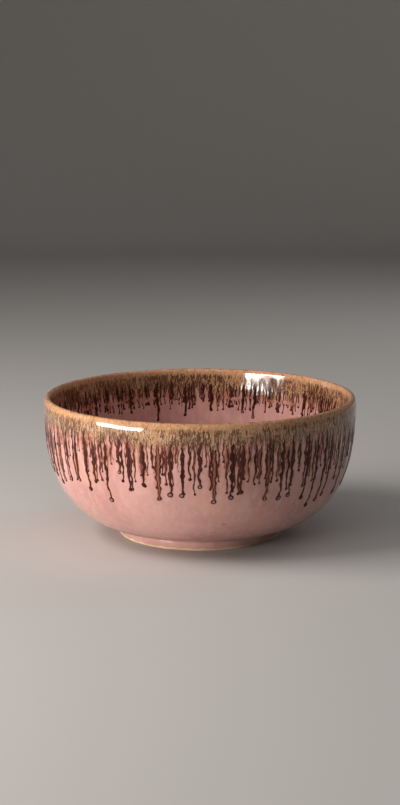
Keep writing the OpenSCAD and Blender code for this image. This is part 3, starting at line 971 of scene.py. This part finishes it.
def ribbon(run, profile, uneven, lip_offset, depth):
    """One run as a closed strip: vertices, faces and marks. Its rows go up from its end."""
    length = run.end - run.top
    bead = min(run.bead, length / 3)
    near = bead * BEAD_ROWS
    stem_rows = max(LEAST_ROWS, int(length / ROW_STEP))
    rows = np.concatenate([near, np.linspace(near[-1] + 1.1, length, stem_rows)])
    dist = run.end - rows
    n, m = len(rows), WIDE_COLUMNS if run.half > WIDE_HALF else NARROW_COLUMNS
    across = np.sin(np.linspace(-1, 1, m) * math.pi / 2)
    # Half its width and how high it stands, with a domed bead at the end.
    dome = np.sqrt(np.clip(bead ** 2 - (rows - bead) ** 2, 0, None))
    in_bead = 1 - smooth(rows, bead * 1.2, bead * 2.4)
    stem = run.half_at(dist) * (1 - 0.15 * in_bead)
    half = np.where(rows < bead, dome, np.maximum(dome, stem))
    root = smooth(rows, length - ROOT_LENGTH, length)
    high = run.height * (1 - root) + ROOT_HEIGHT * root
    high = high * (1 - in_bead) + run.bead_height * in_bead
    high = high * np.where(rows < bead, dome / bead, 1.0) ** 0.8
    # The crowned face, lower where the glaze is thin in its middle.
    thin_and_highlit_middle = run.ring * ring_share(rows, bead, across)
    face = high[:, None] * np.sqrt(np.clip(1 - across ** 2, 0, 1))[None, :]
    if run.hollow > HOLLOW_ABOVE:
        face = face * (0.72 + 0.5 * across[None, :] ** 2)
    face = face * (1 - 0.45 * thin_and_highlit_middle)
    # On the band the run lies over the tan glaze, and below it on the pink coat.
    d = (dist + lip_offset)[:, None]
    over = rim_depth(d, *depth) * (1 - smooth(d, depth[0] + 4, depth[0] + 12))
    face = face * (0.45 + 0.55 * smooth(d, depth[0] - 3, depth[0] + 6))
    face = face - UNDER_FACE + over * np.clip(2.5 * (1 - across[None, :] ** 2), 0, 1)
    wall_r, _ = profile.at(d, 0)
    aside = run.aside(dist)[:, None] + across[None, :] * half[:, None]
    angle = run.turn + aside / wall_r
    r, z = profile.at(d + 0 * angle, face + uneven(angle, d))
    bead_hollow = run.hollow * np.where(in_bead > 0.5, 0.7, 1.0)
    marks = {
        "across": np.broadcast_to(np.abs(across), (n, m)),
        "down": np.broadcast_to(((dist - run.top) / length)[:, None], (n, m)),
        "hollow": np.broadcast_to(bead_hollow[:, None], (n, m)),
        "tone": np.full((n, m), run.tone),
        "ring": thin_and_highlit_middle,
    }
    return to_xyz(r, angle, z).reshape(-1, 3), ribbon_faces(n, m), marks


def run_piece(name, runs, profile, uneven, lip_offset, depth):
    """All the runs of one side as one mesh."""
    verts, faces, marks, first = [], [], {}, 0
    for run in runs:
        v, f, m = ribbon(run, profile, uneven, lip_offset, depth)
        verts.append(v)
        faces += [[k + first for k in face] for face in f]
        for key, values in m.items():
            marks.setdefault(key, []).append(values.ravel())
        first += len(v)
    obj = new_piece(name, np.concatenate(verts), faces, run_look,
                    {key: np.concatenate(values) for key, values in marks.items()})
    weld(obj, range(len(obj.data.vertices)), 2e-7, face_out=True)
    return obj


outside_relief = run_piece("outside_glaze_runs_relief", outside_runs, outside, outside_uneven,
                           lip_length, OUTSIDE_DEPTH)
finish_piece(outside_relief, "outside_glaze_runs")
inside_relief = run_piece("inside_glaze_runs_relief", inside_runs, inside, inside_uneven,
                          inner_lip_length, INSIDE_DEPTH)
finish_piece(inside_relief, "inside_glaze_runs")


# ---------------------------------------------------------------- floor, light and camera
# Metres and degrees from here on.
middle = Vector((0, 0, (cad_low.z + cad_high.z) / 2))
FLOOR_RADIUS, BEND, WALL_TOP, SIDES = 2.6, 1.2, 3.6, 96


def round_floor():
    """A round studio floor that curves up into a wall, the same from every side."""
    rise = np.linspace(0, math.pi / 2, 16)
    bend_r, bend_z = FLOOR_RADIUS + BEND * np.sin(rise), BEND - BEND * np.cos(rise)
    sweep_r = np.concatenate([[0.3, 1.2], bend_r, [FLOOR_RADIUS + BEND]])
    sweep_z = np.concatenate([[0.0, 0.0], bend_z, [WALL_TOP]])
    verts = [(r * math.sin(a), -r * math.cos(a), z)
             for r, z in zip(sweep_r, sweep_z) for a in turns(SIDES)[0]]
    faces = [list(range(SIDES))] + ring_faces(len(sweep_r), SIDES, False).tolist()
    mesh = bpy.data.meshes.new("floor_sweep")
    mesh.from_pydata(verts, [], faces)
    mesh.polygons.foreach_set("use_smooth", [True] * len(mesh.polygons))
    mesh.materials.append(Nodes("pale_paper").done(PAPER, 0.75))
    obj = bpy.data.objects.new("floor_sweep", mesh)
    bpy.context.scene.collection.objects.link(obj)
    return obj


def soft_light(name, azimuth, elevation, distance, width, height, power, colour, glossy=True):
    """An area light facing the bowl. Azimuth 0 is the camera's side, negative to its left."""
    a, e = math.radians(azimuth), math.radians(elevation)
    way = Vector((math.sin(a) * math.cos(e), -math.cos(a) * math.cos(e), math.sin(e)))
    lamp = bpy.data.lights.new(name, "AREA")
    lamp.shape, lamp.size, lamp.size_y = "RECTANGLE", width, height
    lamp.energy, lamp.color = power, colour
    obj = bpy.data.objects.new(name, lamp)
    obj.location = middle + way * distance
    obj.rotation_mode = "QUATERNION"
    obj.rotation_quaternion = way.to_track_quat("Z", "Y")
    obj.visible_glossy = glossy
    bpy.context.scene.collection.objects.link(obj)


round_floor()

# The low softbox makes the highlights: a window inside the bowl and a strip along its lip.
soft_light("key_softbox", -57, 4.2, 1.33, 0.86, 0.18, 15, (1.0, 0.95, 0.90))
soft_light("high_key", -74, 38, 1.6, 1.0, 1.0, 26, (1.0, 0.95, 0.915), glossy=False)
soft_light("overhead_fill", 10, 74, 2.0, 1.8, 1.8, 7, (1.0, 0.97, 0.95), glossy=False)
soft_light("back_fill", 132, 28, 1.9, 1.2, 1.2, 6, (0.96, 0.97, 1.0), glossy=False)

SKY, SKY_STRENGTH = (0.80, 0.84, 0.90, 1.0), 0.05
world = bpy.data.worlds.new("studio")
world.use_nodes = True
world.node_tree.nodes["Background"].inputs[0].default_value = SKY
world.node_tree.nodes["Background"].inputs[1].default_value = SKY_STRENGTH
bpy.context.scene.world = world

# The camera looks down at the bowl, and a little above its middle.
DISTANCE, ELEVATION, AIM_HIGH = 1.480, 12.8, 2.08
LENS, SENSOR = 72.984, 36.0     # millimetres
camera_data = bpy.data.cameras.new("camera")
camera_data.sensor_width = SENSOR
camera_data.lens = LENS
camera = bpy.data.objects.new("camera", camera_data)
bpy.context.scene.collection.objects.link(camera)
down_angle = math.radians(ELEVATION)
camera.location = middle + Vector((0, -math.cos(down_angle), math.sin(down_angle))) * DISTANCE
camera.rotation_euler = (math.pi / 2 - math.radians(ELEVATION - AIM_HIGH), 0, 0)
bpy.context.scene.camera = camera
bpy.context.scene.view_settings.view_transform = "Standard"
